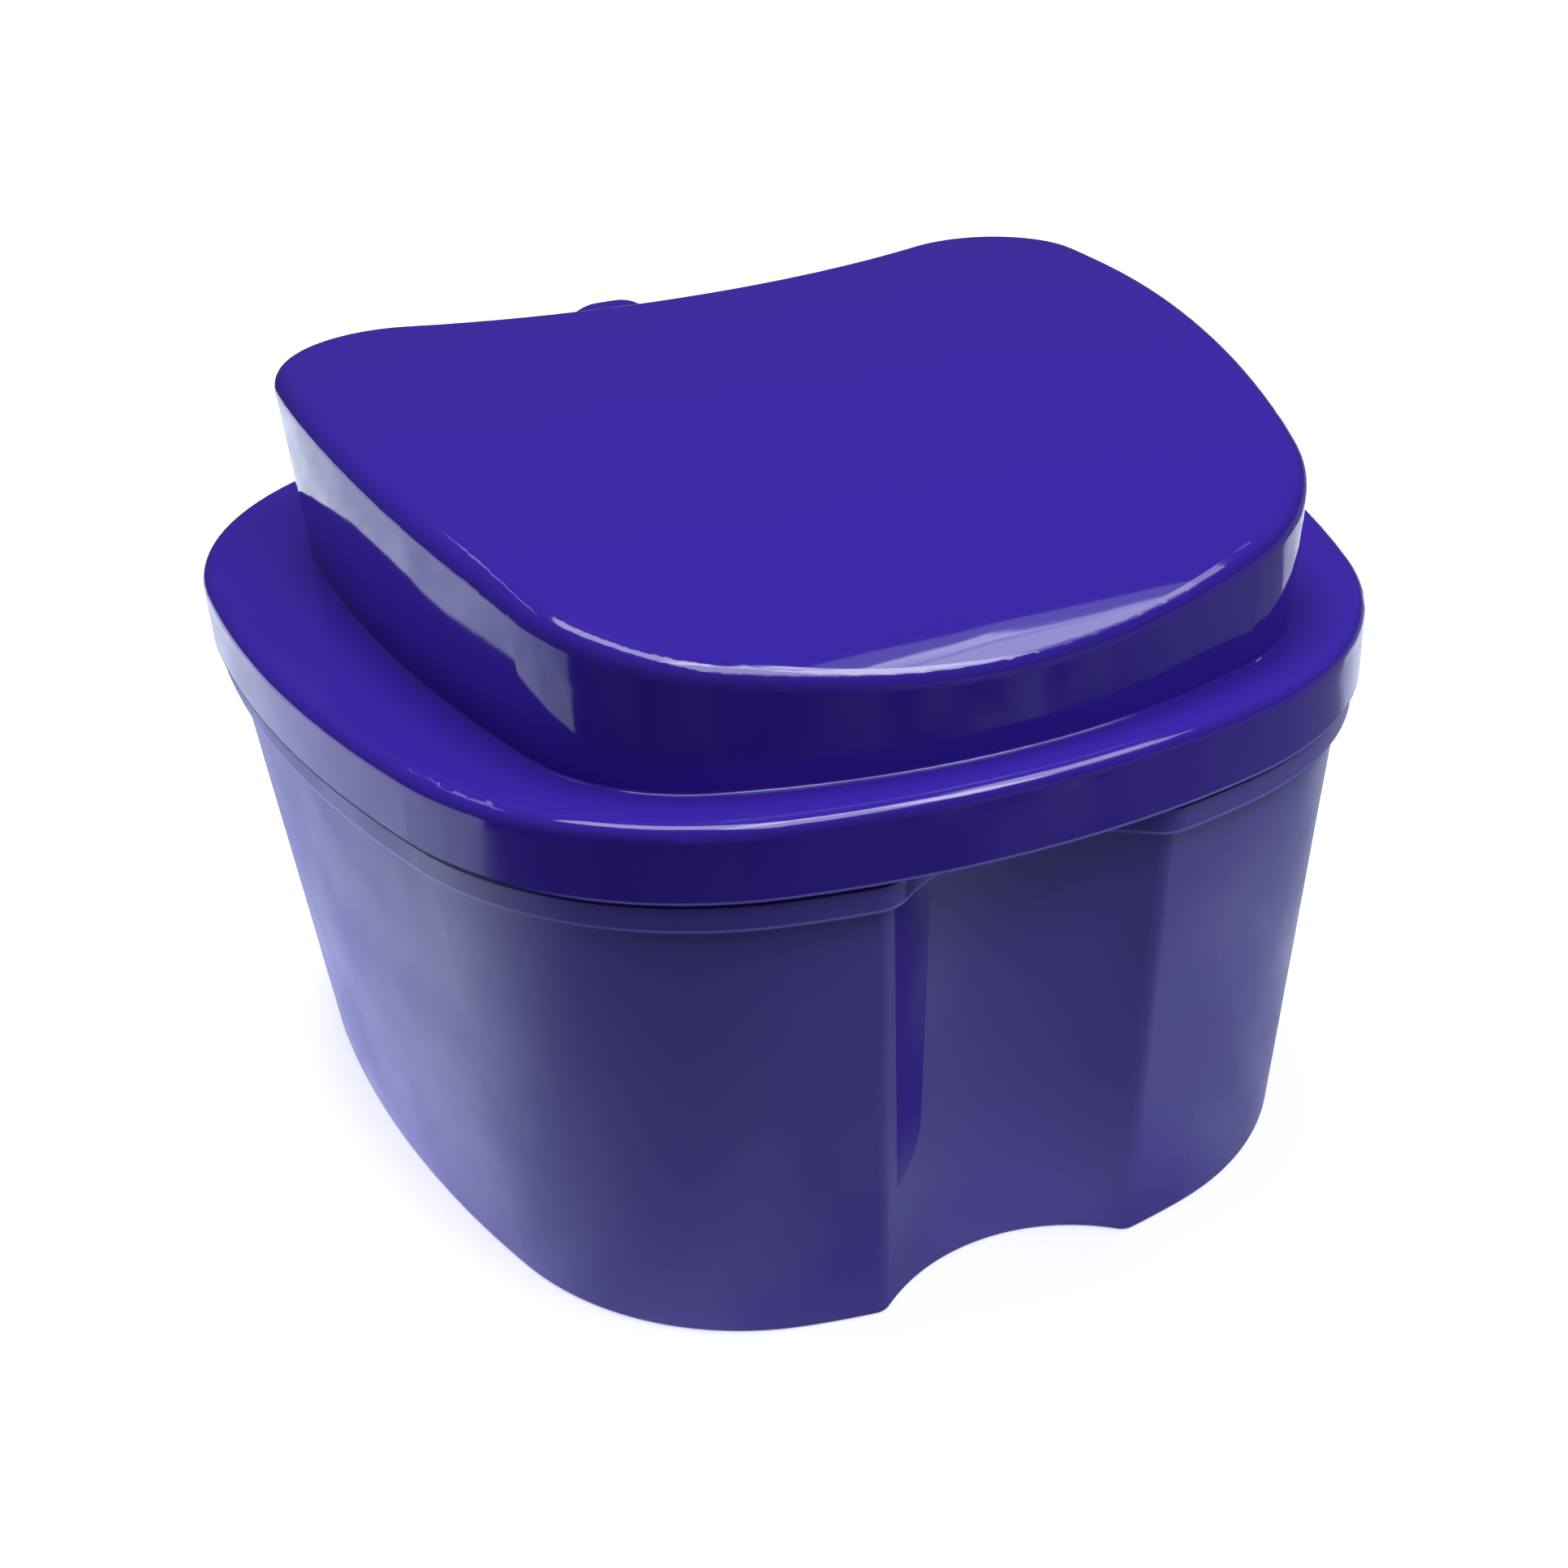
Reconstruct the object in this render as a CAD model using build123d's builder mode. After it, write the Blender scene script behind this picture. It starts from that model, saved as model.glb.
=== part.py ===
from build123d import *
import os
from math import radians, tan

# Denture bath: a tapered tub, a hinged lid with a hollow dome, and a strainer basket with a bail.
# Millimetres, +Z up, +Y towards the hinge, -Y towards the finger scoop. The origin lies on the
# table, under the middle of the lid.

os.makedirs("parts", exist_ok=True)

# ---- overall size ----
lid_width = 97.0
lid_depth = 93.6
tub_height = 44.0                 # from the table to the parting line
skirt_height = 6.1                # from the parting line to the top of the flange
dome_height = 16.7                # from the flange to the dome's top, at its back

# ---- plan outline of the lid: four bows and four round corners ----
front_bow = 82.6                  # radius
side_bow = 125.3
back_bow = 219.6
front_corner = 30.9
back_corner = 29.0
widest = 65.1                     # widest line, behind the lid's front

# ---- plan outline of the dome, whose back is hollowed ----
flange_front = 4.1                # flange left in front of the dome
flange_side = 10.0                # beside it, at its widest line
flange_back = 23.9                # behind the middle of its hollow back
dome_front_bow = 62.7
dome_side_bow = 151.7
dome_hollow = 73.7
dome_front_corner = 16.4
dome_back_corner = 9.6
dome_widest = 59.9                # widest line, behind the dome's front
dome_flare = 2.5                  # degrees, the dome's wall leans outwards

# ---- dome top, seen from the side: nearly level at the back, rolling down to the front ----
top_slope = 0.5                   # degrees, over the back of the dome
top_roll_start = 54.3             # behind the dome's front
top_arcs = (
    (256.3, 8.2),                 # radius, turn in degrees
    (59.3, 11.3),
    (21.0, 70.0),
)
dome_edge = 1.7                   # rounding of the dome's top edge
dome_foot = 0.2                   # hollow rounding where the dome meets the flange
flange_edge = 1.2

# ---- lid walls ----
lid_wall = 1.8

# ---- tub ----
band_height = 2.4
band_inset = 0.5                  # band face behind the skirt face
wall_inset = 1.4                  # wall face behind the skirt face, at the band
wall_draft = 4.4                  # degrees
tub_wall = 2.4
tub_floor = 2.4
foot_edge = 0.4
parting_gap = 0.2                 # between the band and the closed skirt
lip_gap = 0.35                    # between the skirt and the tub's inner lip
lip_height = 3.2                  # inner lip above the band

# ---- finger scoop ----
scoop_radius = 17.0
scoop_depth = 5.0
scoop_edge = 1.6
band_scoop_edge = 3.0

# ---- hinge ----
pin_radius = 1.25
pin_clearance = 0.1
knuckle_radius = 3.6
knuckle_width = 12.0
hinge_side_gap = 0.3
ear_width = 4.0
ear_drop = 3.0                    # top of the ear's root, below the hinge axis
ear_root_height = 6.0
hinge_reach = 4.4                 # axis behind the lid's back
hinge_drop = 1.0                  # axis below the parting line
tab_height = 9.7                  # above the flange
tab_corner = 5.0
tab_root = 0.6                    # tab let into the lid's back
tab_thickness = 4.4
tab_edge = 0.8

# ---- ledges inside the tub ----
ledge_drop = 6.4                  # ledge below the top of the inner lip
ledge_height = 9.0
ledge_depth = 1.5
ledge_width = 8.0
ledge_side_y = 10.0
ledge_front_x = 25.0

# ---- strainer basket ----
basket_wall = 1.4
rim_thickness = 1.3
rim_gap = 0.4
basket_side_gap = 0.7             # between the basket's wall and the ledges
basket_floor_gap = 3.0            # between the basket and the tub's floor
basket_corner = 2.5               # rounding around the basket's floor
drain_radius = 2.0
drain_pitch = 8.0
slot_width = 3.0
slot_pitch = 8.0
slot_margin = 7.0                 # solid wall left above and below the slots
side_slots = 6
back_slots = 5

# ---- basket handle ----
wire_radius = 1.4
handle_side_gap = 1.3             # between the upright bail and the inside of the dome
handle_reach = 13.0
handle_corner = 6.0
handle_knee = 3.0
handle_setback = 10.9             # bail's axis in front of the dome's hollow back
handle_lift = 0.5                 # bail above the basket's rim
lug_length = 7.0
lug_width = 3.0
lug_edge = 1.4
lug_inset = 0.6                   # lug's outer face inside the rim's edge
lug_cover = 1.2                   # lug above the bail
handle_clearance = 0.15
rest_gap = 0.3                    # between the folded bail and the rests below its corners
rest_length = 6.0

tolerance = 0.01                  # points closer than this count as the same

# ---- derived ----
lid_front = -lid_depth / 2
lid_back = lid_depth / 2
flange_top = tub_height + skirt_height
flange_under = flange_top - lid_wall
dome_front = lid_front + flange_front
dome_half = lid_width / 2 - flange_side
dome_top = flange_top + dome_height
hollow_y = lid_back - flange_back + dome_hollow
band_top = tub_height - parting_gap
band_bottom = band_top - band_height
lip_top = band_top + lip_height
lip_inset = lid_wall + lip_gap
hinge_y = lid_back + hinge_reach
hinge_z = tub_height - hinge_drop


def bowed_area(front, front_radius, half_width, side_y, side_radius, inset):
    """The area inside a bowed front and two bowed sides, all moved inwards by inset."""
    side_x = half_width - side_radius
    with BuildSketch() as sketch:
        with Locations((0, front + front_radius)):
            Circle(front_radius - inset)
        # each side circle is turned so that its seam stays off the outline
        for centre_x, turn in ((side_x, 180), (-side_x, 0)):
            with Locations(Location((centre_x, side_y, 0), (0, 0, turn))):
                Circle(side_radius - inset, mode=Mode.INTERSECT)
    return sketch.sketch


def lid_outline(inset=0.0):
    """The lid's plan outline, moved inwards by inset."""
    side_y = lid_front + widest
    with BuildSketch() as sketch:
        add(bowed_area(lid_front, front_bow, lid_width / 2, side_y, side_bow, inset))
        with Locations((0, lid_back - back_bow)):
            Circle(back_bow - inset, mode=Mode.INTERSECT)
        fillet(sketch.vertices().group_by(Axis.Y)[0], front_corner - inset)
        fillet(sketch.vertices().group_by(Axis.Y)[-1], back_corner - inset)
    return sketch.sketch


def dome_outline(inset=0.0):
    """The dome's plan outline at its foot, moved inwards by inset."""
    side_y = dome_front + dome_widest
    with BuildSketch() as sketch:
        add(bowed_area(dome_front, dome_front_bow, dome_half, side_y, dome_side_bow, inset))
        with Locations((0, hollow_y)):
            Circle(dome_hollow + inset, mode=Mode.SUBTRACT)
            Rectangle(
                2 * lid_width, 2 * lid_width, align=(Align.CENTER, Align.MIN), mode=Mode.SUBTRACT
            )
        fillet(sketch.vertices().group_by(Axis.Y)[0], dome_front_corner - inset)
        fillet(sketch.vertices().group_by(Axis.Y)[-1], dome_back_corner - inset)
    return sketch.sketch


def scooped_outline(inset, radius, edge=scoop_edge):
    """The lid's outline moved in by inset, with the finger scoop cut out and its corners rounded."""
    centre = Vector(0, lid_front + inset + scoop_depth - radius)
    with BuildSketch() as sketch:
        add(lid_outline(inset))
        with Locations(centre):
            Circle(radius, mode=Mode.SUBTRACT)
        on_scoop = sketch.vertices().filter_by(
            lambda v: abs((v.center() - centre).length - radius) < tolerance
        )
        fillet(on_scoop, edge)
    return sketch.sketch


def drafted_block(bottom, top, inset, radius):
    """A scooped block that narrows downwards with the wall's draft."""
    narrowing = (top - bottom) * tan(radians(wall_draft))
    with BuildPart() as block:
        with BuildSketch(Plane.XY.offset(bottom)):
            add(scooped_outline(inset + narrowing, radius))
        with BuildSketch(Plane.XY.offset(top)):
            add(scooped_outline(inset, radius))
        loft(ruled=True)
    return block.part


def least_half_width(outline, y, length):
    """Half the outline's least width over a strip of the given length about y."""
    with BuildSketch() as strip:
        add(outline)
        with Locations((0, y)):
            Rectangle(2 * lid_width, length, mode=Mode.INTERSECT)
    return min(abs(v.X) for v in strip.sketch.vertices())


def cavity_inset(z):
    """Inset of the tub's drafted inner wall at height z."""
    return wall_inset + tub_wall + (band_bottom - z) * tan(radians(wall_draft))


def dome_block(inset, drop, flare):
    """The dome as a solid, its walls moved in by inset and its top lowered by drop."""
    fall = tan(radians(top_slope))
    roll_start = Vector(dome_front + top_roll_start, 0)
    roll_start.Y = dome_top - drop
    behind = roll_start + Vector(lid_depth, lid_depth * fall)
    above = 2 * dome_top
    with BuildPart() as block:
        with BuildSketch(Plane.XY.offset(flange_under)):
            add(dome_outline(inset))
        with BuildSketch(Plane.XY.offset(dome_top + dome_edge)):
            rise = dome_top + dome_edge - flange_under
            add(dome_outline(inset - rise * tan(radians(flare))))
        loft(ruled=True)
        # take away all that lies above the sloping top
        with BuildSketch(Plane.YZ):
            with BuildLine():
                Line(behind, roll_start)
                point, heading = roll_start, Vector(-1, -fall)
                for radius, turn in top_arcs:
                    arc = JernArc(point, heading, radius, turn)
                    point, heading = arc @ 1, arc % 1
                Polyline(point, (point.X, above), (behind.X, above), behind)
            make_face()
        extrude(amount=lid_width, both=True, mode=Mode.SUBTRACT)
    return block.part


# =====================================================================================
# Tub
# =====================================================================================
ledge_top = lip_top - ledge_drop
cavity_scoop = scoop_radius + tub_wall
ear_root_y = lid_back - wall_inset - tub_wall / 2
ear_x = knuckle_width / 2 + hinge_side_gap

with BuildSketch() as ledge_strips:
    with Locations((0, ledge_side_y)):
        Rectangle(2 * lid_width, ledge_width)
    with Locations((-ledge_front_x, 0), (ledge_front_x, 0)):
        Rectangle(ledge_width, 2 * lid_depth)

with BuildPart() as tub:
    # drafted wall, from the band down to the foot
    add(drafted_block(0, band_bottom, wall_inset, scoop_radius))
    fillet(tub.edges().group_by(Axis.Z)[0], foot_edge)

    # rim band
    with BuildSketch(Plane.XY.offset(band_bottom)):
        add(scooped_outline(band_inset, scoop_radius - wall_inset + band_inset, band_scoop_edge))
    extrude(amount=band_height)

    # inner lip that the lid's skirt closes over
    with BuildSketch(Plane.XY.offset(band_top)):
        add(scooped_outline(lip_inset, scoop_radius - wall_inset + lip_inset))
    extrude(amount=lip_height)

    # hinge ears
    for ear_plane in (Plane.YZ.offset(ear_x), Plane.YZ.offset(-ear_x - ear_width)):
        with BuildSketch(ear_plane):
            with BuildLine():
                root_z = hinge_z - ear_drop
                Line((ear_root_y, root_z), (ear_root_y, root_z - ear_root_height))
            with Locations((hinge_y, hinge_z)):
                Circle(knuckle_radius)
            make_hull()
        extrude(amount=ear_width)

    # cavity, following the wall's draft
    add(drafted_block(tub_floor, lip_top, cavity_inset(lip_top), cavity_scoop), mode=Mode.SUBTRACT)

    # ledges that carry the basket's rim
    with BuildSketch(Plane.XY.offset(ledge_top)):
        add(lid_outline(cavity_inset(ledge_top) - tub_wall / 2))
        add(lid_outline(cavity_inset(ledge_top) + ledge_depth), mode=Mode.SUBTRACT)
        add(ledge_strips.sketch, mode=Mode.INTERSECT)
    extrude(amount=-ledge_height)

    # pin bore through both ears
    with BuildSketch(Plane.YZ):
        with Locations((hinge_y, hinge_z)):
            Circle(pin_radius)
    extrude(amount=ear_x + ear_width, both=True, mode=Mode.SUBTRACT)
tub.part.label = "tub"
export_step(tub.part, "parts/tub.step")

# =====================================================================================
# Lid
# =====================================================================================
tab_top = flange_top + tab_height
with BuildPart() as tab:
    # upright tab above the knuckle, rounded at its top
    with BuildSketch(Plane.XZ.offset(tab_root - lid_back)) as tab_sketch:
        with Locations((0, tub_height)):
            Rectangle(knuckle_width, tab_top - tub_height, align=(Align.CENTER, Align.MIN))
        fillet(tab_sketch.vertices().group_by(Axis.Y)[-1], tab_corner)
    extrude(amount=-tab_thickness)
    fillet(tab.edges().filter_by(Axis.Y, reverse=True).group_by(Axis.Z)[-1], tab_edge)

with BuildPart() as dome:
    add(dome_block(0, 0, dome_flare))
    # the sloping top's own edges are neither straight nor round
    top_edges = dome.edges().filter_by(lambda e: e.geom_type not in (GeomType.LINE, GeomType.CIRCLE))
    fillet(top_edges, dome_edge)

dome_core = dome_block(lid_wall, lid_wall, 0)

with BuildPart() as lid:
    # skirt and flange
    with BuildSketch(Plane.XY.offset(tub_height)):
        add(lid_outline())
    extrude(amount=skirt_height)
    fillet(lid.edges().group_by(Axis.Z)[-1], flange_edge)

    # dome, with a hollow rounding at its foot
    add(dome.part)
    flange = lid.faces().filter_by(Plane.XY).sort_by(lambda f: abs(f.center().Z - flange_top))[0]
    fillet(flange.inner_wires()[0].edges(), dome_foot)

    # hollow underside
    with BuildSketch(Plane.XY.offset(tub_height)):
        add(lid_outline(lid_wall))
    extrude(amount=skirt_height - lid_wall, mode=Mode.SUBTRACT)
    add(dome_core, mode=Mode.SUBTRACT)

    # hinge knuckle and tab
    add(tab.part)
    with BuildSketch(Plane.YZ):
        with Locations((hinge_y, hinge_z)):
            Circle(knuckle_radius)
    extrude(amount=knuckle_width / 2, both=True)
    with BuildSketch(Plane.YZ):
        with Locations((hinge_y, hinge_z)):
            Circle(pin_radius + pin_clearance)
    extrude(amount=knuckle_width, both=True, mode=Mode.SUBTRACT)
lid.part.label = "lid"
export_step(lid.part, "parts/lid.step")

# =====================================================================================
# Hinge pin
# =====================================================================================
with BuildPart() as hinge_pin:
    with BuildSketch(Plane.YZ):
        with Locations((hinge_y, hinge_z)):
            Circle(pin_radius)
    extrude(amount=ear_x + ear_width, both=True)
hinge_pin.part.label = "hinge_pin"
export_step(hinge_pin.part, "parts/hinge_pin.step")

# =====================================================================================
# Strainer basket
# =====================================================================================
rim_inset = cavity_inset(ledge_top) + rim_gap
rim_scoop = cavity_scoop + rim_gap
rim_outline = scooped_outline(rim_inset, rim_scoop)
rim_top = ledge_top + rim_thickness
handle_y = lid_back - flange_back - handle_setback
rim_half = least_half_width(rim_outline, handle_y, lug_length)
shell_inset = cavity_inset(ledge_top) + ledge_depth + basket_side_gap
shell_scoop = cavity_scoop + ledge_depth + basket_side_gap
basket_bottom = tub_floor + basket_floor_gap
handle_z = rim_top + wire_radius + handle_lift
lug_top = handle_z + wire_radius + handle_clearance + lug_cover
lug_x = rim_half - lug_inset - lug_width / 2
handle_end = lug_x + lug_width / 2
dome_inside = least_half_width(dome_outline(lid_wall), handle_y, 2 * wire_radius)
handle_half = dome_inside - handle_side_gap - wire_radius
rest_y = handle_y - handle_reach
rest_end = least_half_width(rim_outline, rest_y, rest_length) - lug_inset
rest_reach = rest_end - handle_half + wire_radius
rest_x = rest_end - rest_reach / 2

# holes in the floor, kept clear of its edge
floor_inset = shell_inset + (ledge_top - basket_bottom) * tan(radians(wall_draft)) + basket_corner
drain_area = scooped_outline(floor_inset + drain_radius, shell_scoop + basket_corner + drain_radius)
drain_rows = 1 + 2 * int(lid_width / drain_pitch / 2)
drains = [
    place.position
    for place in GridLocations(drain_pitch, drain_pitch, drain_rows, drain_rows).locations
    if drain_area.face().is_inside(place.position)
]

slot_length = ledge_top - basket_bottom - 2 * slot_margin
slot_z = (ledge_top + basket_bottom) / 2

with BuildPart() as strainer_basket:
    # drafted shell
    add(drafted_block(basket_bottom, ledge_top, shell_inset, shell_scoop))
    fillet(strainer_basket.edges().group_by(Axis.Z)[0], basket_corner)

    # rim
    with BuildSketch(Plane.XY.offset(ledge_top)):
        add(rim_outline)
    extrude(amount=rim_thickness)

    # lugs for the handle
    with BuildSketch(Plane.XY.offset(rim_top)):
        with Locations((-lug_x, handle_y), (lug_x, handle_y)):
            Rectangle(lug_width, lug_length)
    extrude(amount=lug_top - rim_top)
    fillet(strainer_basket.edges().filter_by(Axis.X).group_by(Axis.Z)[-1], lug_edge)
    with BuildSketch(Plane.YZ):
        with Locations((handle_y, handle_z)):
            Circle(wire_radius + handle_clearance)
    extrude(amount=rim_half, both=True, mode=Mode.SUBTRACT)

    # inside
    inside_inset = shell_inset + basket_wall
    inside_scoop = shell_scoop + basket_wall
    add(
        drafted_block(basket_bottom + basket_wall, rim_top, inside_inset, inside_scoop),
        mode=Mode.SUBTRACT,
    )

    # rests for the folded handle, reaching in from the rim
    with BuildSketch(Plane.XY.offset(ledge_top)):
        with Locations((-rest_x, rest_y), (rest_x, rest_y)):
            Rectangle(rest_reach, rest_length)
    extrude(amount=handle_z - wire_radius - rest_gap - ledge_top)

    # drain holes and slots
    with BuildSketch(Plane.XY.offset(basket_bottom)):
        with Locations(*drains):
            Circle(drain_radius)
    extrude(amount=basket_wall, mode=Mode.SUBTRACT)
    with BuildSketch(Plane.YZ):
        with Locations((ledge_side_y, slot_z)):
            with GridLocations(slot_pitch, 0, side_slots, 1):
                SlotOverall(slot_length, slot_width, rotation=90)
    extrude(amount=lid_width / 2, both=True, mode=Mode.SUBTRACT)
    with BuildSketch(Plane.XZ):
        with Locations((0, slot_z)):
            with GridLocations(slot_pitch, 0, back_slots, 1):
                SlotOverall(slot_length, slot_width, rotation=90)
    extrude(amount=lid_depth / 2, both=True, mode=Mode.SUBTRACT)
strainer_basket.part.label = "strainer_basket"
export_step(strainer_basket.part, "parts/strainer_basket.step")

# =====================================================================================
# Basket handle
# =====================================================================================
with BuildPart() as basket_handle:
    with BuildLine(Plane.XY.offset(handle_z)) as wire:
        Polyline(
            (-handle_end, handle_y),
            (-handle_half, handle_y),
            (-handle_half, rest_y),
            (handle_half, rest_y),
            (handle_half, handle_y),
            (handle_end, handle_y),
        )
        fillet(wire.vertices().group_by(Axis.Y)[0], handle_corner)
        knees = wire.vertices().group_by(Axis.Y)[-1]
        fillet(knees.filter_by(lambda v: abs(v.X) < handle_end - tolerance), handle_knee)
    with BuildSketch(Plane(origin=wire.wire() @ 0, z_dir=wire.wire() % 0)):
        Circle(wire_radius)
    sweep()
basket_handle.part.label = "basket_handle"
export_step(basket_handle.part, "parts/basket_handle.step")
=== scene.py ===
from math import cos, pi, radians, sin

import bpy
from mathutils import Matrix, Vector

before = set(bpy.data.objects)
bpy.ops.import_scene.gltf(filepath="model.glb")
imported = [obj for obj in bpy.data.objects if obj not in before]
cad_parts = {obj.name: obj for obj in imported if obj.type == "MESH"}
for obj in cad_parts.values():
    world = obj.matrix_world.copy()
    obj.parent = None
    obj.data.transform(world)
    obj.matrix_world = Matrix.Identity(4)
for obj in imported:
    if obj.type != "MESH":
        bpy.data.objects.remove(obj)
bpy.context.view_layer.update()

# Looks and studio for the denture case. Every visible shape of it is the CAD's own, so this script
# adds materials, a floor, a tent, lamps and a camera. Lengths are in metres, and +Y is towards the
# hinge.

MM = 0.001


def mm(*lengths):
    """Millimetres as metres."""
    return tuple(length * MM for length in lengths)


# ---- camera ----
CAMERA_AZIMUTH = -20.62           # degrees from straight in front, negative to the left
CAMERA_ELEVATION = 29.16
CAMERA_ROLL = -3.34
CAMERA_PLACE = Vector((-58.72, -151.32, 116.56)) * MM
CAMERA_NEAR = 0.01
SENSOR = 36.0
LENS = 45.43                      # millimetres, as the sensor

# ---- colours, linear ----
PURPLE = (0.051, 0.0200, 0.375)
IVORY = (0.80, 0.79, 0.76)
WHITE = (1.0, 1.0, 1.0)
FLOOR_COLOUR = (0.9, 0.9, 0.86)
COOL = (0.79, 0.86, 1.03)         # tint of the light that the floor and the tent give
LAMP_TINT = (0.93, 0.96, 1.0)
SHEEN_TINT = (0.85, 0.93, 1.0)

# ---- plastic; a noise is given by its scale and detail ----
TONE_NOISE = (45.0, 3.0)
TONE_SPREAD = 0.04                # part of the colour
ROUGH_NOISE = (90.0, 4.0)
ROUGH_SPREAD = 0.15               # part of the roughness
NOISE_MIDDLE = (0.3, 0.7)         # a noise hardly leaves this range
WAVE_DETAIL = 1.5
GRAIN_NOISE = (900, 2.0)
SHEEN_ROUGHNESS = 0.5
SKIRT_TOP = mm(48.0, 48.8)        # the lid is duller below, and glossy above
SKIRT_ROUGHNESS = 0.17

# ---- painted lines around the case, at sharp edges of the mould: painted highlight where an edge would catch the light, painted shade in gaps and under edges; heights, ends in X, and look ----
PAINTED_HIGHLIGHT_LINE = ((0.17, 0.14, 0.62), 1.8)      # colour and IOR of a painted highlight line: a paler edge that stands in for the light a sharp edge catches
PAINTED_SHADE_LINE = ((0.014, 0.007, 0.10), 1.15)   # and of a painted shade line, darker, standing in for the shade in a gap or under an edge
LINE_ROUGHNESS = 0.4
LINE_SOFT = 0.05 * MM             # softness of its long sides
LINE_FADE = 6 * MM                # length over which it fades at its ends
LINE_OUTWARDS = 0.2               # least cosine between the surface's normal and straight outwards
HORIZONTAL = (1, 1, 0)            # times a vector, this leaves its level part
ALL_ROUND = mm(-60, 60)           # wider than the case
SKIRT_EDGE = mm(44.0, 44.2)
# at the skirt's lower edge: a painted highlight line to the front and right, and painted shade in the
# parting gap to the left
SKIRT_PAINTED_LINES = ((SKIRT_EDGE, mm(-36, 60), PAINTED_HIGHLIGHT_LINE), (SKIRT_EDGE, mm(-60, -32), PAINTED_SHADE_LINE))
# on the band: a painted highlight line at its lower edge, painted shade just below it, and painted shade
# at its top under the skirt
BAND_PAINTED_LINES = (
    (mm(41.4, 41.62), ALL_ROUND, PAINTED_HIGHLIGHT_LINE),
    (mm(41.1, 41.38), ALL_ROUND, PAINTED_SHADE_LINE),
    (mm(43.4, 43.8), ALL_ROUND, PAINTED_SHADE_LINE),
)

# ---- painted shade: a strip on the finger scoop's left flank, with less gloss and no sheen, so it renders darker ----
STRIP_LEFT = mm(12.6, 42.0, -9.8, -10.6)   # two heights and the X of the strip's side there
STRIP_RIGHT = mm(12.0, 39.0, -7.2, -6.6)
STRIP_TIP = mm(12.2, 18.5)        # heights over which it narrows to its tip
STRIP_TIP_WIDTH = 3.0 * MM
STRIP_TIP_CURVE = 3.0
STRIP_BACK = -37 * MM             # everything of it is in front of this Y
STRIP_ROUGHNESS = 0.22
STRIP_IOR = 1.3

# ---- floor as the plastic mirrors it: a white sheet with a dark front ----
FLOOR_HALF = 2.5
SHEET_FRONT = -0.022              # Y of its front edge
SHEET_FRONT_RIGHT = -0.008        # it lies further back to the right
SHEET_TURN = (0.05, 0.10)         # X over which it does
SHEET_SIDE = (0.17, 0.20)         # it fades out here to the sides and to the back
SHEET_BACK = (0.28, 0.31)
SHEET_LEVEL = (1.1, 1.6)          # uneven with the sheet's creases
SHEET_SOFT_NEAR = (0.075, 0.10)   # the front edge is softer closer to the case
SHEET_SOFTNESS = (0.022, 0.004)
SHEET_CRISP_RIGHT = 1.8           # the edge turns crisp this many times sooner to the right
SHEET_RAGGED = 0.004
RAGGED_NOISE = (70.0, 3.0)
CREASE_NOISE = (55.0, 4.0, 0.6)   # scale, detail and roughness
CREASE_MIDDLE = (0.25, 0.75)
DARK_TURN = (-0.03, 0.14)         # X over which the dark floor in front grows lighter
DARK_LEVEL = (0.05, 0.44)
STREAK_NOISE = (45.0, 3.0)
STREAK_MIDDLE = (0.35, 0.68)
STREAK_LEVEL = (0.1, 2.1)
EVEN_RIGHT = (0.05, 0.10)         # further right the dark floor is even
EVEN_LEVEL = 0.75
CASE_ON_FLOOR = (0.02, -0.01, 0)  # the floor around the foot is lighter again
NEAR_RADII = (0.06, 0.12)
NEAR_TURN = (0.01, 0.07)
NEAR_LEVEL = (0.26, 0.72)         # left and right

# ---- light that the floor throws back at the walls ----
SHEET_BOUNCE = (4.4, 3.1)         # left and right
SHEET_BOUNCE_TURN = (-0.05, 0.05)
FRONT_BOUNCE = (0.12, 0.5)        # the same in front
FRONT_BOUNCE_TURN = (0.02, 0.14)
BEHIND = (0.04, 0.12)             # it falls off behind the case
BEHIND_SHADE = 0.4
FOOT_RADII = (0.06, 0.13)
FOOT_BOUNCE = 0.9                 # in front of the foot
FOOT_SHADE = 0.45                 # around the rest of it

# ---- floor as the camera sees it ----
FLOOR_GLOW = 0.55                 # part of the floor's white that its shadow can't take away
GLOW_REACH = (0.20, 0.60)         # further out the floor is plain white

# ---- tent and lamps ----
TENT_RADIUS = 1.6
TENT_SEGMENTS = 32
TENT_RINGS = 16
TENT_LEVEL = 0.05
CASE_MIDDLE = (0, 0, 0.05)


def place_camera():
    """A camera at the given place, looking along the azimuth and elevation, tilted by the roll."""
    azimuth, elevation, roll = (radians(a) for a in (CAMERA_AZIMUTH, CAMERA_ELEVATION, CAMERA_ROLL))
    back = Vector((sin(azimuth) * cos(elevation), -cos(azimuth) * cos(elevation), sin(elevation)))
    right = Vector((cos(azimuth), sin(azimuth), 0))
    up = back.cross(right)
    tilted_right = right * cos(roll) + up * sin(roll)
    tilted_up = up * cos(roll) - right * sin(roll)
    data = bpy.data.cameras.new("camera")
    data.sensor_width = SENSOR
    data.lens = LENS
    data.clip_start = CAMERA_NEAR
    camera = bpy.data.objects.new("camera", data)
    turn = Matrix((tilted_right, tilted_up, back)).transposed()
    camera.matrix_world = Matrix.Translation(CAMERA_PLACE) @ turn.to_4x4()
    bpy.context.scene.collection.objects.link(camera)
    bpy.context.scene.camera = camera


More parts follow.
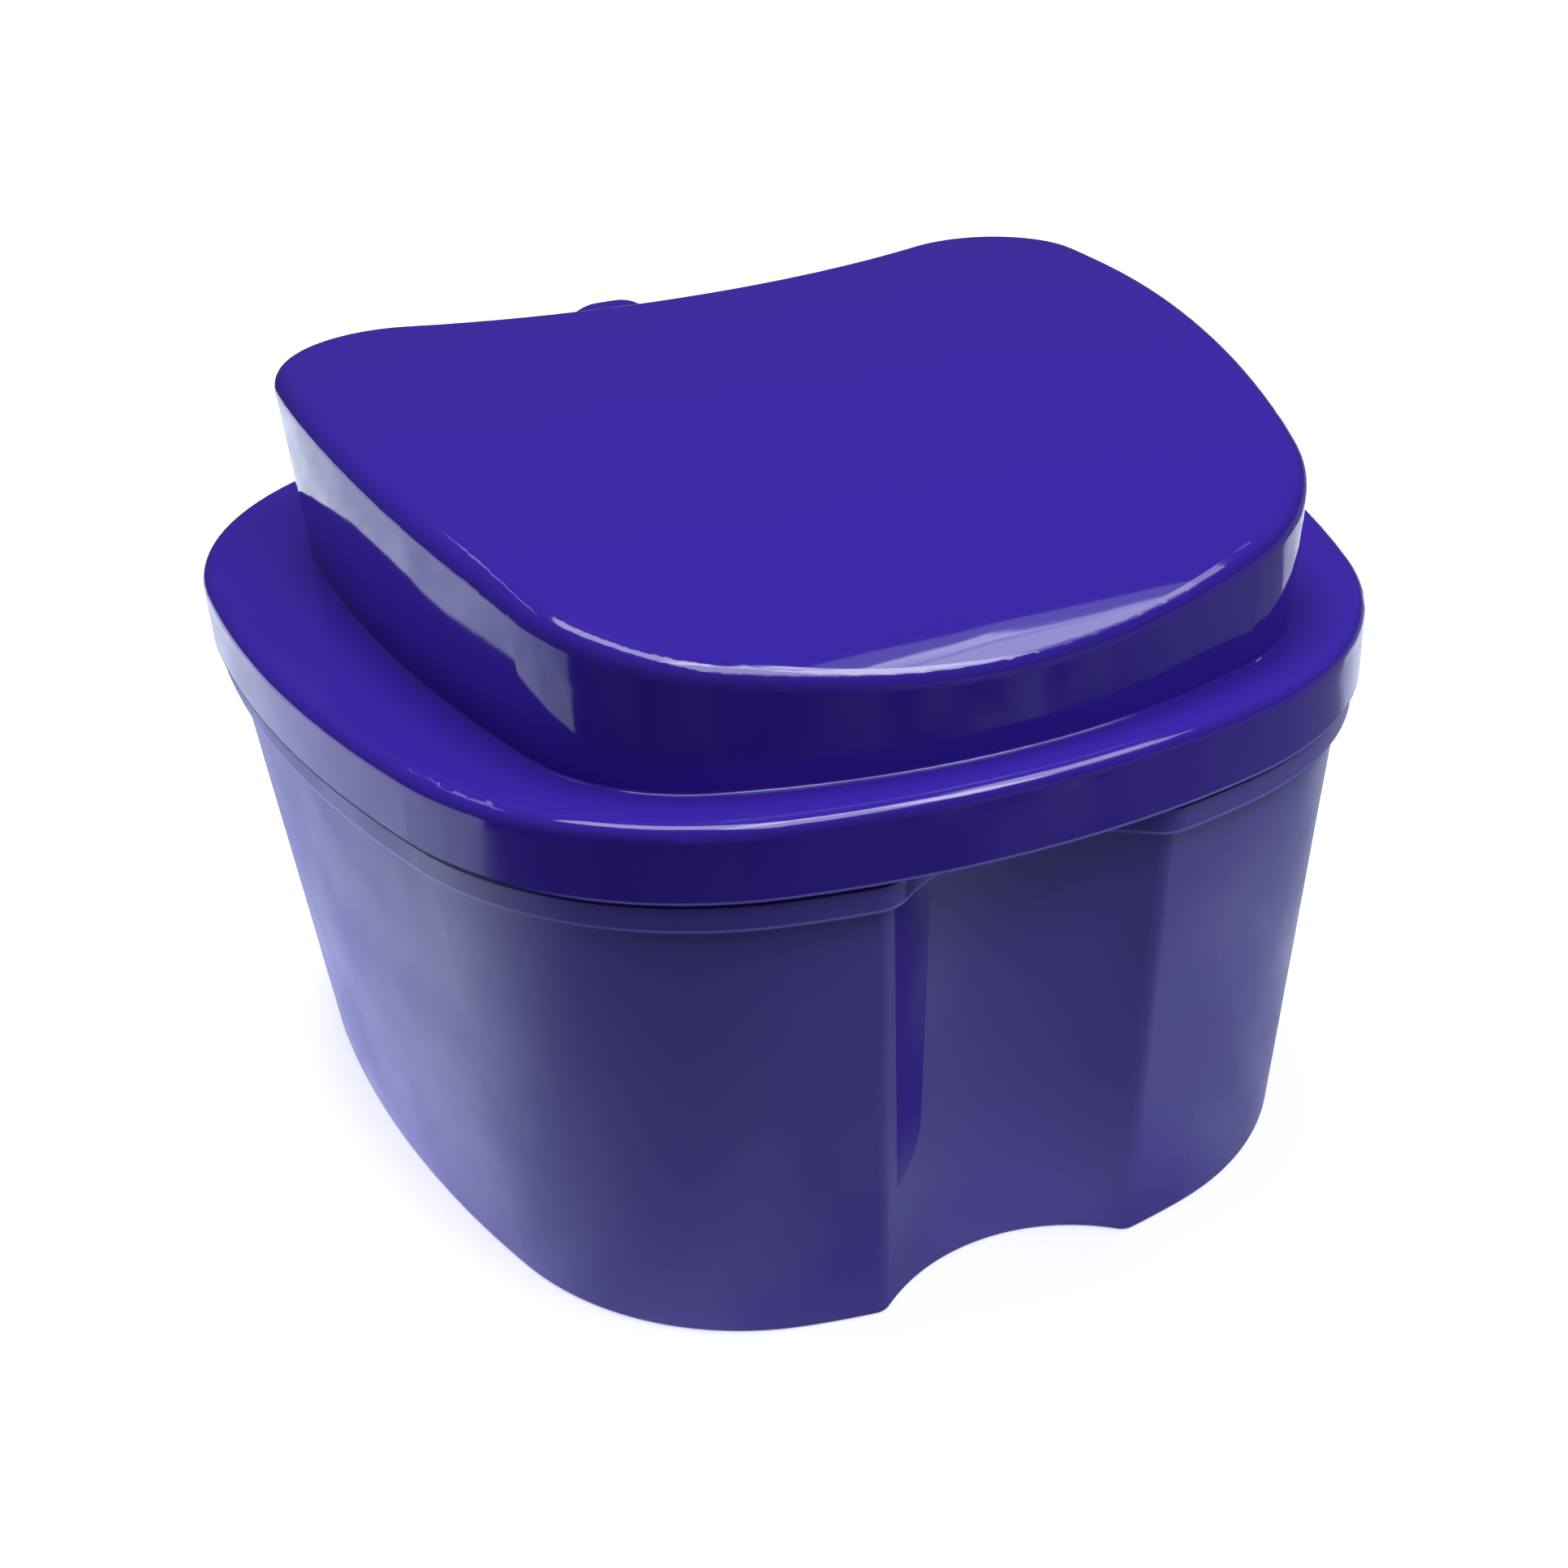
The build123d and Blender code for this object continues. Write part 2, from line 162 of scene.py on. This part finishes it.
class Nodes:
    """A node tree being built. Its methods add nodes and return their outputs."""

    def __init__(self, owner):
        owner.use_nodes = True
        self.tree = owner.node_tree
        self.tree.nodes.clear()

    def add(self, kind, settings=None, **sockets):
        """Adds a node. A socket goes by its name, with _ for a space, or by its number, as in _0."""
        node = self.tree.nodes.new("ShaderNode" + kind)
        for key, value in (settings or {}).items():
            setattr(node, key, value)
        for key, value in sockets.items():
            number = key.removeprefix("_")
            socket = node.inputs[int(number) if number.isdigit() else key.replace("_", " ")]
            if isinstance(value, bpy.types.NodeSocket):
                self.tree.links.new(value, socket)
            else:
                socket.default_value = value
        return node.outputs

    def axes(self, vector):
        return self.add("SeparateXYZ", Vector=vector)

    def math(self, operation, a, b=0.0):
        return self.add("Math", {"operation": operation}, _0=a, _1=b)[0]

    def product(self, first, *others):
        for other in others:
            first = self.math("MULTIPLY", first, other)
        return first

    def vector_math(self, operation, a, b=(0, 0, 0)):
        return self.add("VectorMath", {"operation": operation}, _0=a, _1=b)

    def ramp(self, value, low, high, out_low=0.0, out_high=1.0, kind="SMOOTHSTEP"):
        """From one value at low to another at high, and level beyond."""
        return self.add("MapRange", {"interpolation_type": kind}, Value=value, From_Min=low, From_Max=high,
                        To_Min=out_low, To_Max=out_high)[0]

    def fall(self, value, low, high):
        """From one at low to zero at high."""
        return self.ramp(value, low, high, 1.0, 0.0)

    def blend(self, factor, a, b):
        return self.add("Mix", _0=factor, _2=a, _3=b)[0]

    def blend_colours(self, factor, a, b):
        return self.add("Mix", {"data_type": "RGBA"}, _0=factor, _6=a, _7=b)[2]

    def noise(self, vector, scale, detail, roughness=0.5):
        return self.add("TexNoise", Vector=vector, Scale=scale, Detail=detail, Roughness=roughness)[0]

    def bump(self, height, distance, **sockets):
        return self.add("Bump", Strength=1.0, Distance=distance, Height=height, **sockets)[0]

    def glow(self, colour, level):
        return self.add("Emission", Color=(*colour, 1), Strength=level)[0]

    def cover(self, factor, under, over):
        """One shader over another, where the factor is one."""
        return self.add("MixShader", _0=factor, _1=under, _2=over)[0]


def shaded(colour, factor):
    return (*(factor * c for c in colour), 1)


def plastic(name, colour, roughness, ior, wave, wave_scale, grain=None, sheen=0.0, dull_skirt=False,
            shade_strip=False, painted_lines=()):
    """Moulded plastic: nearly even colour, slow waves from the mould, and a fine grain if asked; over it,
    if asked, a strip of painted shade and lines of painted highlight and painted shade.
    """
    material = bpy.data.materials.new(name)
    nodes = Nodes(material)
    point = nodes.add("TexCoord")["Object"]
    tones = [shaded(colour, 1 - TONE_SPREAD), shaded(colour, 1 + TONE_SPREAD)]
    tone = nodes.blend_colours(nodes.noise(point, *TONE_NOISE), *tones)
    rough_range = [roughness * (1 - ROUGH_SPREAD), roughness * (1 + ROUGH_SPREAD)]
    rough = nodes.ramp(nodes.noise(point, *ROUGH_NOISE), *NOISE_MIDDLE, *rough_range)
    if dull_skirt:
        skirt = nodes.fall(nodes.axes(point)["Z"], *SKIRT_TOP)
        rough = nodes.blend(skirt, rough, SKIRT_ROUGHNESS)
    waved = nodes.bump(nodes.noise(point, wave_scale, WAVE_DETAIL), wave)
    normal = nodes.bump(nodes.noise(point, *GRAIN_NOISE), grain, Normal=waved) if grain else waved
    shader = nodes.add("BsdfPrincipled", Base_Color=tone, Roughness=rough, IOR=ior, Normal=normal,
                       Sheen_Weight=sheen, Sheen_Roughness=SHEEN_ROUGHNESS, Sheen_Tint=(*SHEEN_TINT, 1))[0]
    # painted shade: a darker strip of a plastic with less gloss and no sheen
    if shade_strip:
        shade_strip_shader = nodes.add("BsdfPrincipled", Base_Color=tone, Roughness=STRIP_ROUGHNESS, IOR=STRIP_IOR,
                             Normal=waved)[0]
        shader = nodes.cover(shade_strip_mask(nodes, point), shader, shade_strip_shader)
    # painted highlight and painted shade lines over the plastic
    for heights, ends, (line_colour, line_ior) in painted_lines:
        line = nodes.add("BsdfPrincipled", Base_Color=(*line_colour, 1), Roughness=LINE_ROUGHNESS,
                         IOR=line_ior)[0]
        shader = nodes.cover(painted_line_mask(nodes, point, heights, ends), shader, line)
    nodes.add("OutputMaterial", Surface=shader)
    return material


def painted_line_mask(nodes, point, heights, ends):
    """One between two heights and two fading ends in X, on the surfaces that face outwards: where a
    painted highlight or painted shade line goes.
    """
    low, high = heights
    from_x, to_x = ends
    axes = nodes.axes(point)
    flat = nodes.vector_math("MULTIPLY", point, HORIZONTAL)[0]
    outwards = nodes.vector_math("NORMALIZE", flat)[0]
    normal = nodes.add("TexCoord")["Normal"]
    facing = nodes.vector_math("DOT_PRODUCT", normal, outwards)["Value"]
    above = nodes.ramp(axes["Z"], low - LINE_SOFT, low + LINE_SOFT)
    below = nodes.fall(axes["Z"], high - LINE_SOFT, high + LINE_SOFT)
    right_of = nodes.ramp(axes["X"], from_x, from_x + LINE_FADE)
    left_of = nodes.fall(axes["X"], to_x - LINE_FADE, to_x)
    outside = nodes.math("GREATER_THAN", facing, LINE_OUTWARDS)
    return nodes.product(above, below, right_of, left_of, outside)


def shade_strip_mask(nodes, point):
    """One on the strip of the finger scoop's left flank, which narrows to a tip below: painted shade, a
    darker strip with less gloss and no sheen.
    """
    axes = nodes.axes(point)
    left = nodes.ramp(axes["Z"], *STRIP_LEFT, kind="LINEAR")
    right = nodes.ramp(axes["Z"], *STRIP_RIGHT, kind="LINEAR")
    near_tip = nodes.ramp(axes["Z"], *STRIP_TIP, 1.0, 0.0, kind="LINEAR")
    narrowing = nodes.product(nodes.math("POWER", near_tip, STRIP_TIP_CURVE), STRIP_TIP_WIDTH)
    right_of_left = nodes.math("GREATER_THAN", axes["X"], left)
    left_of_right = nodes.math("LESS_THAN", axes["X"], nodes.math("SUBTRACT", right, narrowing))
    in_front = nodes.math("LESS_THAN", axes["Y"], STRIP_BACK)
    return nodes.product(right_of_left, left_of_right, in_front)


def use_material(node, material):
    """Puts the material in every slot of a CAD node."""
    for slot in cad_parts[node].material_slots:
        slot.material = material


def sheet_front(nodes, point, axes):
    """One behind the white sheet's front edge, which is ragged, and crisp further from the case."""
    beside = nodes.math("ABSOLUTE", axes["X"])
    away = nodes.math("MAXIMUM", beside, nodes.product(axes["X"], SHEET_CRISP_RIGHT))
    softness = nodes.ramp(away, *SHEET_SOFT_NEAR, *SHEET_SOFTNESS)
    ragged = nodes.ramp(nodes.noise(point, *RAGGED_NOISE), *NOISE_MIDDLE, -SHEET_RAGGED, SHEET_RAGGED)
    edge = nodes.ramp(axes["X"], *SHEET_TURN, SHEET_FRONT, SHEET_FRONT_RIGHT)
    from_edge = nodes.math("SUBTRACT", nodes.math("ADD", axes["Y"], ragged), edge)
    return nodes.ramp(nodes.math("DIVIDE", from_edge, softness), -1.0, 1.0)


def mirrored_level(nodes, point, axes, reach, front):
    """Brightness of the floor in the plastic: the creased sheet, and the streaky dark floor."""
    back = nodes.fall(axes["Y"], *SHEET_BACK)
    side = nodes.fall(nodes.math("ABSOLUTE", axes["X"]), *SHEET_SIDE)
    creases = nodes.ramp(nodes.noise(point, *CREASE_NOISE), *CREASE_MIDDLE, *SHEET_LEVEL)
    beyond = nodes.ramp(axes["X"], *DARK_TURN, *DARK_LEVEL)
    near_level = nodes.ramp(axes["X"], *NEAR_TURN, *NEAR_LEVEL)
    near = nodes.product(near_level, nodes.fall(reach, *NEAR_RADII))
    streaks = nodes.ramp(nodes.noise(point, *STREAK_NOISE), *STREAK_MIDDLE, *STREAK_LEVEL)
    streaks = nodes.blend(nodes.ramp(axes["X"], *EVEN_RIGHT), streaks, EVEN_LEVEL)
    dark = nodes.product(nodes.math("MAXIMUM", beyond, near), streaks)
    return nodes.blend(nodes.product(front, back, side), dark, creases)


def bounce_level(nodes, axes, reach, front):
    """Brightness of the floor as a source of light for the walls."""
    at_foot = nodes.fall(reach, *FOOT_RADII)
    in_front = nodes.ramp(axes["X"], *FRONT_BOUNCE_TURN, *FRONT_BOUNCE)
    low = nodes.blend(at_foot, in_front, FOOT_BOUNCE)
    across = nodes.ramp(axes["X"], *SHEET_BOUNCE_TURN, *SHEET_BOUNCE)
    behind = nodes.ramp(axes["Y"], *BEHIND, 1.0, BEHIND_SHADE)
    foot_shade = nodes.ramp(at_foot, 0.0, 1.0, 1.0, FOOT_SHADE)
    return nodes.blend(front, low, nodes.product(across, behind, foot_shade))


def floor_material():
    """White with the case's soft shadow; the plastic mirrors it as a white sheet with a dark front."""
    material = bpy.data.materials.new("floor")
    nodes = Nodes(material)
    point = nodes.add("TexCoord")["Object"]
    axes = nodes.axes(point)
    reach = nodes.vector_math("DISTANCE", point, CASE_ON_FLOOR)["Value"]
    front = sheet_front(nodes, point, axes)
    mirrored = nodes.glow(COOL, mirrored_level(nodes, point, axes, reach, front))
    bounce = nodes.glow(COOL, bounce_level(nodes, axes, reach, front))
    glow = nodes.glow(WHITE, nodes.ramp(reach, *GLOW_REACH, FLOOR_GLOW, 1.0))
    diffuse = nodes.add("BsdfDiffuse", Color=(*FLOOR_COLOUR, 1))[0]
    seen = nodes.add("AddShader", _0=glow, _1=diffuse)[0]
    rays = nodes.add("LightPath")
    unseen = nodes.cover(rays["Is Diffuse Ray"], mirrored, bounce)
    nodes.add("OutputMaterial", Surface=nodes.cover(rays["Is Camera Ray"], unseen, seen))
    return material


def add_floor():
    half = FLOOR_HALF
    mesh = bpy.data.meshes.new("floor")
    corners = [(-half, -half, 0), (half, -half, 0), (half, half, 0), (-half, half, 0)]
    mesh.from_pydata(corners, [], [(0, 1, 2, 3)])
    mesh.materials.append(floor_material())
    piece = bpy.data.objects.new("floor", mesh)
    bpy.context.scene.collection.objects.link(piece)


def add_tent():
    """A dim tent around the studio, hidden from the camera."""
    material = bpy.data.materials.new("tent")
    nodes = Nodes(material)
    nodes.add("OutputMaterial", Surface=nodes.glow(COOL, TENT_LEVEL))
    bpy.ops.mesh.primitive_uv_sphere_add(radius=TENT_RADIUS, segments=TENT_SEGMENTS, ring_count=TENT_RINGS)
    tent = bpy.context.object
    tent.name = "tent"
    tent.data.materials.append(material)
    tent.visible_camera = False
    tent.visible_shadow = False


def add_world():
    """A white world, seen by the camera alone, since the tent hides it from the rest."""
    world = bpy.data.worlds.new("world")
    bpy.context.scene.world = world
    nodes = Nodes(world)
    nodes.add("OutputWorld", Surface=nodes.add("Background", Color=(*WHITE, 1))[0])


def softbox(name, centre, size, level, aim=CASE_MIDDLE, lights=True, mirrored=True):
    """A softbox aimed at a point, whose face has the given radiance."""
    centre, aim = Vector(centre), Vector(aim)
    data = bpy.data.lights.new(name, "AREA")
    data.shape = "RECTANGLE"
    data.size, data.size_y = size
    data.energy = pi * size[0] * size[1] * level
    data.color = LAMP_TINT
    light = bpy.data.objects.new(name, data)
    light.location = centre
    light.rotation_euler = (aim - centre).to_track_quat("-Z", "Y").to_euler()
    light.visible_camera = False
    light.visible_diffuse = lights
    light.visible_glossy = mirrored
    bpy.context.scene.collection.objects.link(light)


def card(name, centre, size, level, aim=CASE_MIDDLE):
    """A softbox that the plastic mirrors, and that lights nothing."""
    softbox(name, centre, size, level, aim, lights=False)


place_camera()

lid_plastic = plastic("lid_plastic", PURPLE, roughness=0.06, ior=1.5, wave=0.13 * MM, wave_scale=80,
                      dull_skirt=True, painted_lines=SKIRT_PAINTED_LINES)
tub_plastic = plastic("tub_plastic", PURPLE, roughness=0.46, ior=1.72, wave=0.08 * MM, wave_scale=60,
                      grain=0.01 * MM, sheen=0.15, shade_strip=True, painted_lines=BAND_PAINTED_LINES)
ivory_plastic = plastic("ivory_plastic", IVORY, roughness=0.3, ior=1.45, wave=0.03 * MM, wave_scale=60)
use_material("lid", lid_plastic)
use_material("tub", tub_plastic)
use_material("hinge_pin", tub_plastic)
use_material("strainer_basket", ivory_plastic)
use_material("basket_handle", ivory_plastic)

add_floor()
add_tent()
add_world()
softbox("overhead", centre=(-0.07, 0.10, 1.05), size=(0.45, 0.40), level=12.5, mirrored=False)
card("overhead_card", centre=(-0.07, 0.10, 1.05), size=(0.45, 0.09), level=6.0)
softbox("window", centre=(0.224, -0.480, 0.90), size=(1.0, 0.40), level=4.4)
card("window_card", centre=(0.228, -0.55, 0.90), size=(0.95, 0.50), level=2.0)
card("core_card", centre=(0.283, -0.527, 0.80), size=(0.20, 0.34), level=7.0)
card("middle_card", centre=(0.071, -0.335, 0.94), size=(0.36, 0.14), level=5.0)
card("upper_card", centre=(0.355, -0.175, 0.93), size=(0.15, 0.055), level=6.4, aim=(0.305, -0.065, 0.05))
card("fringe_card", centre=(0.44, -0.120, 0.93), size=(0.36, 0.12), level=1.3, aim=(0.44, 0.0, 0.05))
card("left_card", centre=(-0.23, -0.16, 0.92), size=(0.68, 0.36), level=7.0)
card("back_card", centre=(-0.45, 0.42, 0.80), size=(0.70, 0.05), level=2.5)
bpy.context.scene.view_settings.view_transform = "Standard"
